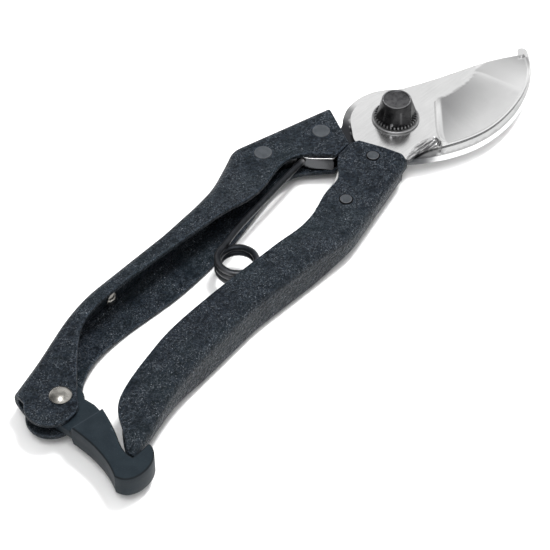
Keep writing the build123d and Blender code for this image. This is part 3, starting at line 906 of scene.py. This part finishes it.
def counter_facts(co, away):
    """Painted shade on the boss's rim and wall, and on the tang."""
    x, z, r = co[:, 0], co[:, 2], np.hypot(co[:, 0], co[:, 1])
    dark = (away < AT_WALL) * smooth((-x - 2.0) / 6.0) * 0.93
    # The boss's rim left of the cutting blade gets painted shade, as if shadowed by it.
    boss_rim = (r > BOSS_RIM_R) & (r < TANG_STEP_R) & (z > BLADE_LOW + 1.0)
    boss_tone = smooth((-x + 1.0) / 5.0) * (0.7 + 0.28 * smooth((-x - 5.0) / 5.0))
    dark = np.maximum(dark, boss_rim * boss_tone)
    tang = (x < -14) & (r > TANG_STEP_R)
    dark = np.maximum(dark, tang * np.where(z > BLADE_TOP - 0.3, 0.25, 0.90))
    none = np.zeros(len(co))
    return {"ground": none, "coarse": none, "dark": dark, "bright": none}


outer, holes = split_holes(flat_faces("counter_blade", BLADE_LOW, -1))
counter = plate(
    "counter_blade_skin",
    outer,
    holes,
    COUNTER_STEP,
    COUNTER_EDGE,
    counter_top,
    counter_low,
    STEEL,
    extra=(*tang_step(134, 166), arc(BOSS_RIM_R, 90, 200)),
    facts=counter_facts,
)
stand_for(counter, "counter_blade")

# ---------------------------------------------------------------- the pivot
nut_low, nut_top = heights("pivot_nut")
NUT_FOOT, NUT_NECK, NUT_RIM = 6.5, 5.3, 4.42
NUT_TURN = 20  # degrees from +X to the middle of one of its flats
NUT_ROWS = 14
LIP = 0.34
DISH_EDGE = NUT_RIM - LIP - 0.1


def nut_radius(r, z, a):
    """Tapered hexagon whose corners are turned away towards the round top."""
    t = (z - nut_low) / (nut_top - nut_low)
    flat = math.cos(math.radians(30)) * (NUT_FOOT + (NUT_NECK - NUT_FOOT) * t)
    turn = (a - math.radians(NUT_TURN) + math.radians(30)) % math.radians(60) - math.radians(30)
    hexagon = flat / math.cos(math.radians(30) - abs(turn))
    return min(r, hexagon)


rings = [(0.4, nut_low), (3.0, nut_low), (NUT_FOOT - 0.2, nut_low), (NUT_FOOT, nut_low + 0.15)]
for row in range(1, NUT_ROWS + 1):
    r = NUT_FOOT + (NUT_RIM + 0.1 - NUT_FOOT) * row / NUT_ROWS
    rings.append((r, nut_low + 0.15 + (nut_top - 0.3 - nut_low) * row / NUT_ROWS))
rings += [(NUT_RIM, nut_top - 0.05), (NUT_RIM - 0.1, nut_top)]
rings += [(NUT_RIM - LIP, nut_top), (DISH_EDGE, nut_top - 0.06)]
rings += [(r, nut_top - 0.66 + 0.5 * (r / DISH_EDGE) ** 2) for r in (3.85, 3.4, 2.9, 2.3, 1.6, 0.9, 0.3)]
points, faces = lathe(rings, 144, nut_radius)
nut = new_piece("pivot_nut_skin", points, faces, BLACK_STEEL, 40)
at = places(nut)
around = (np.degrees(np.arctan2(at[:, 1], at[:, 0])) - NUT_TURN + 30) % 60 - 30
corner = smooth((np.abs(around) - 24.0) / 5.0) * (at[:, 2] < nut_top - 1.6) * (at[:, 2] > nut_low + 0.2)
lip = (at[:, 2] > nut_top - 0.04) & (np.hypot(at[:, 0], at[:, 1]) > NUT_RIM - LIP - 0.05)
# Painted highlights on the rim's lip and on the corners of the flats.
mark(nut, "worn", 0.14 * corner + 0.5 * lip)
stand_for(nut, "pivot_nut")

ring_low, ring_top = heights("lock_ring")
TEETH = 36
TOOTH_DEEP = 0.5
TOOTH_TURNS = 10  # points round the rim for each tooth


def toothed(r, z, a):
    """The outer rim has a gap in each pitch, cut deeper at the top."""
    phase = (a * TEETH / (2 * math.pi)) % 1.0
    cut = smooth(np.array([(0.26 - abs(phase - 0.5)) / 0.1]))[0]
    if r < 5.6:
        return r, z
    return r - TOOTH_DEEP * cut, z - (0.28 * cut if z > ring_low + 0.5 else 0.0)


profile = [(4.05, ring_low), (6.55, ring_low), (6.66, ring_low + 0.12), (6.66, ring_low + 0.5)]
profile += [(6.62, ring_top - 0.16), (6.5, ring_top - 0.03), (6.2, ring_top), (5.7, ring_top)]
profile += [(5.4, ring_top), (4.05, ring_top)]
points, faces = tube_ring(profile, TEETH * TOOTH_TURNS, toothed)
lock_ring = new_piece("lock_ring_skin", points, faces, BLACK_STEEL, 35)
at = places(lock_ring)
tips = (np.hypot(at[:, 0], at[:, 1]) > 6.42) & (at[:, 2] > ring_low + 0.45)
mark(lock_ring, "worn", 0.55 * tips)
stand_for(lock_ring, "lock_ring")

washer_low, washer_top = heights("pivot_washer")
profile = [(4.08, washer_low), (7.2, washer_low), (7.36, washer_low + 0.12), (7.38, washer_low + 0.3)]
profile += [(7.34, washer_top - 0.14), (7.2, washer_top - 0.02), (6.9, washer_top)]
profile += [(5.5, washer_top), (4.08, washer_top)]
points, faces = tube_ring(profile, 160)
washer = new_piece("pivot_washer_skin", points, faces, WASHER_STEEL, 35)
at = places(washer)
mark(washer, "worn", 0.9 * ((np.hypot(at[:, 0], at[:, 1]) > 7.1) & (at[:, 2] > washer_top - 0.2)))
stand_for(washer, "pivot_washer")


# ---------------------------------------------------------------- rivets
# The seat ring round each raised rivet is painted dark, as shadow.
RECESS = 0.3  # width of the dark ring round each of the right handle's rivets


def rivet_rings(r, low, high, edge, crown):
    """A pin with rounded rims and slightly crowned ends."""
    up = [(r, high - edge - crown), (r - 0.3 * edge, high - 0.3 * edge - crown), (r - edge, high - crown)]
    up += [(s * (r - edge), high - crown * s * s) for s in (0.8, 0.55, 0.3, 0.08)]
    down = [(a, low + high - z) for a, z in reversed(up)]
    return down + up


def raised_rings(r, low, high):
    """A raised rivet, standing in a seat that shows as a ring round it."""
    seat = high - 0.34
    head = rivet_rings(r - RECESS, low, high, 0.22, 0.12)
    foot = [(0.1, low), (r - RECESS, low), (r, low + 0.3), (r, seat), (r - 0.28, seat)]
    return foot + head[len(head) // 2 :]


def tang_rivet(name):
    """A rivet through a handle and its tang: flush in the left handle, raised in the right."""
    low_corner, high_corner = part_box(name)
    at, (low, high) = (low_corner + high_corner) / 2 * 1000, heights(name)
    r = (high_corner.x - low_corner.x) * 500
    raised = name.startswith("right")
    rings = raised_rings(r, low, high) if raised else rivet_rings(r, low, high, 0.08, 0.03)
    points, faces = lathe(rings, 64)
    piece = new_piece(name + "_skin", moved(points, at), faces, DULL_STEEL, 40)
    place = places(piece)
    off = np.hypot(place[:, 0] - at.x, place[:, 1] - at.y)
    rim = r - RECESS if raised else r
    # Painted highlight on the rim of each head.
    mark(piece, "worn", (0.4 if raised else 0.12) * (np.abs(off - rim) < 0.12) * (place[:, 2] > high - 0.32))
    # Painted shadow on the raised rivets' seats.
    mark(piece, "dark", 0.97 * raised * (place[:, 2] < high - 0.3))
    stand_for(piece, name)


def catch_rivet():
    """A shouldered pin with a domed head, which is part of a ball."""
    head_r, head_z = 3.2, 10.12
    low_corner, high_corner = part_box("catch_rivet")
    low, high = heights("catch_rivet")
    rings = [(0.1, low), (2.3, low), (2.75, low + 0.18), (2.9, low + 0.5), (2.9, 3.46), (2.0, 3.47)]
    rings += [(2.0, head_z - 0.01), (head_r - 0.1, head_z)]
    rings += [(head_r, head_z + 0.12), (head_r - 0.02, head_z + 0.3)]
    dome = high - head_z - 0.3
    ball = (head_r**2 + dome**2) / (2 * dome)
    for share in (0.97, 0.9, 0.8, 0.68, 0.54, 0.4, 0.25, 0.1, 0.02):
        r = head_r * share
        rings.append((r, high - ball + math.sqrt(ball**2 - r**2)))
    points, faces = lathe(rings, 96)
    at = (low_corner + high_corner) / 2 * 1000
    piece = new_piece("catch_rivet_skin", moved(points, at), faces, NICKEL, 40)
    stand_for(piece, "catch_rivet")


for name in ("left_front_rivet", "left_rear_rivet", "right_front_rivet", "right_rear_rivet"):
    tang_rivet(name)
catch_rivet()

for name, material in (("web_rivet", NICKEL), ("pivot_bolt", BLACK_STEEL)):
    nodes[name].data.materials.clear()
    nodes[name].data.materials.append(material)


# ---------------------------------------------------------------- the catch
CATCH_LOW, CATCH_TOP = 3.15, 10.45
EYE_LOW, EYE_TOP = 5.25, 8.35
STEP = ((-158.0, 2.95), (-138.0, -2.04))  # the line between the thin eye and the thick arm
STEP_SEEN = ((-152.6, 1.55), (-143.0, -0.84))  # its stretch inside the outline
MOULD_MARK, MOULD_MARK_R = (-151.6, -19.0), 1.5


def catch_top(xy, away):
    """The thick arm, a step down to the thin eye, and a shallow round mark left by moulding."""
    thick = CATCH_TOP - 0.04 * smooth((away - 0.4) / 3.0)
    from_mark = np.hypot(xy[:, 0] - MOULD_MARK[0], xy[:, 1] - MOULD_MARK[1])
    thick = thick - 0.14 * smooth((MOULD_MARK_R - from_mark) / 0.25)
    return np.where(side_of(xy, STEP) > 0, thick, EYE_TOP)


def catch_low(xy):
    return np.where(side_of(xy, STEP) > 0, CATCH_LOW, EYE_LOW)


def catch_facts(co, away):
    """A painted shade line under the step and along the thick arm's rim, and a painted highlight on the
    step's edge.
    """
    past, z = side_of(co[:, :2], STEP), co[:, 2]
    under = (past > -0.58) & (past < 0.0) & (z < 8.5) & (z > 7.0)
    lower_side = (past > 0.2) & (away < 0.35) & (z > 9.7) & (co[:, 0] + 0.45 * co[:, 1] < -149.5)
    on_edge = (past > 0.0) & (past < 0.4) & (z > 9.8)
    return {"dark": 0.9 * under + 0.7 * lower_side * (away > 0.05), "worn": 0.8 * on_edge}


def shifted(line, by, n=20):
    """A straight line moved sideways, to the right of its direction for a positive number."""
    (ax, ay), (bx, by_) = line
    long = math.dist(*line)
    nx, ny = (by_ - ay) / long, -(bx - ax) / long
    return [(ax + (bx - ax) * k / n + nx * by, ay + (by_ - ay) * k / n + ny * by) for k in range(n + 1)]


outer, holes = split_holes(flat_faces("catch_lever", CATCH_TOP, 1) + flat_faces("catch_lever", EYE_TOP, 1))
catch = plate(
    "catch_lever_skin",
    outer,
    holes,
    0.7,
    0.5,
    catch_top,
    catch_low,
    PLASTIC,
    extra=[shifted(STEP_SEEN, by) for by in (-0.6, -0.06, 0.06, 0.45)],
    facts=catch_facts,
)
stand_for(catch, "catch_lever")


# ---------------------------------------------------------------- the handles
# In millimetres and degrees: points this close are joined, faces this flat are made one, and edges this
# sharp get a radius.
WELD, FLAT_TURN, EDGE_TURN, PAINT_EDGE = 0.02, 1.2, 34, 0.42


def paint_edges(obj):
    """Join the sheet's flat faces and round its edges; the round strips get material 1."""
    weld = obj.modifiers.new("weld", "WELD")
    weld.merge_threshold = WELD * MM
    flat = obj.modifiers.new("flat", "DECIMATE")
    flat.decimate_type = "DISSOLVE"
    flat.angle_limit = math.radians(FLAT_TURN)
    edge = obj.modifiers.new("edge", "BEVEL")
    edge.width = PAINT_EDGE * MM
    edge.segments = 3
    edge.limit_method = "ANGLE"
    edge.angle_limit = math.radians(EDGE_TURN)
    edge.use_clamp_overlap = False
    edge.material = 1
    shading = obj.modifiers.new("shading", "WEIGHTED_NORMAL")
    shading.weight = 60


def skin_handle(name):
    """The handle's sheet with rounded edges, as thick paint leaves them."""
    mesh = nodes[name].data.copy()
    obj = bpy.data.objects.new(name + "_skin", mesh)
    bpy.context.scene.collection.objects.link(obj)
    if mesh.has_custom_normals:
        bpy.context.view_layer.objects.active = obj
        obj.select_set(True)
        bpy.ops.mesh.customdata_custom_splitnormals_clear()
        obj.select_set(False)
    for polygon in mesh.polygons:
        polygon.use_smooth = True
    if "sharp_edge" in mesh.attributes:
        mesh.attributes.remove(mesh.attributes["sharp_edge"])
    mesh.materials.clear()
    mesh.materials.append(PAINT)
    mesh.materials.append(PAINT)
    paint_edges(obj)
    made = bpy.data.meshes.new_from_object(obj.evaluated_get(bpy.context.evaluated_depsgraph_get()))
    obj.modifiers.clear()
    obj.data = made
    made.name = name + "_skin"
    rubbed = [float(p.material_index == 1) for p in made.polygons]
    for polygon in made.polygons:
        polygon.material_index = 0
    made.materials.clear()
    made.materials.append(PAINT)
    layer = made.attributes.new("worn", "FLOAT", "FACE")
    layer.data.foreach_set("value", rubbed)
    stand_for(obj, name)


for name in ("left_handle", "right_handle"):
    skin_handle(name)


# ---------------------------------------------------------------- the spring
WIRE_R = 1.0
COIL_AT, COIL_R, COIL_LOW_Z = (-76.6, 4.0), 5.7, 4.3
COIL_PITCH, COIL_TURNS, COIL_STEPS = 2.06, 2.5, 60
LEFT_LEG = (
    (-31.5, 12.94, 7.93), (-34.5, 12.9, 8.0), (-48.0, 12.2, 8.5), (-60.0, 11.55, 8.95),
    (-64.5, 11.25, 9.12), (-69.0, 10.75, 9.28), (-73.0, 10.1, 9.38),
)
RIGHT_LEG = ((-73.0, -2.35, 4.55), (-69.0, -3.1, 4.9), (-62.0, -4.35, 5.5), (-49.5, -6.6, 6.6))


def spring_path():
    """Centre line: along the left leg, down through the coil's turns, along the right leg."""
    cx, cy = COIL_AT
    fall = COIL_PITCH * COIL_TURNS
    coil = []
    for k in range(COIL_STEPS + 1):
        a = math.radians(90 + 360 * COIL_TURNS * k / COIL_STEPS)
        z = COIL_LOW_Z + fall - fall * k / COIL_STEPS
        coil.append((cx + COIL_R * math.cos(a), cy + COIL_R * math.sin(a), z))
    return [*LEFT_LEG, *coil, *RIGHT_LEG]


def finer(path, step):
    """The path with long runs divided."""
    out = [path[0]]
    for a, b in zip(path[:-1], path[1:]):
        n = max(1, round(math.dist(a, b) / step))
        out.extend(tuple(a[i] + (b[i] - a[i]) * k / n for i in range(3)) for k in range(1, n + 1))
    return out


def spring_tube(path):
    """Round wire along a path."""
    curve = bpy.data.curves.new("spring_path", "CURVE")
    curve.dimensions = "3D"
    line = curve.splines.new("POLY")
    line.points.add(len(path) - 1)
    for point, place in zip(line.points, path):
        point.co = (*(c * MM for c in place), 1.0)
    curve.bevel_depth = WIRE_R * MM
    curve.bevel_resolution = 3
    curve.use_fill_caps = True
    obj = bpy.data.objects.new("spring_path", curve)
    bpy.context.scene.collection.objects.link(obj)
    mesh = bpy.data.meshes.new_from_object(obj.evaluated_get(bpy.context.evaluated_depsgraph_get()))
    bpy.data.objects.remove(obj)
    mesh.materials.clear()
    mesh.materials.append(WIRE)
    for polygon in mesh.polygons:
        polygon.use_smooth = True
    made = bpy.data.objects.new("spring_skin", mesh)
    bpy.context.scene.collection.objects.link(made)
    return made


spring = spring_tube(finer(spring_path(), 1.2))
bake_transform(spring)
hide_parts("spring")
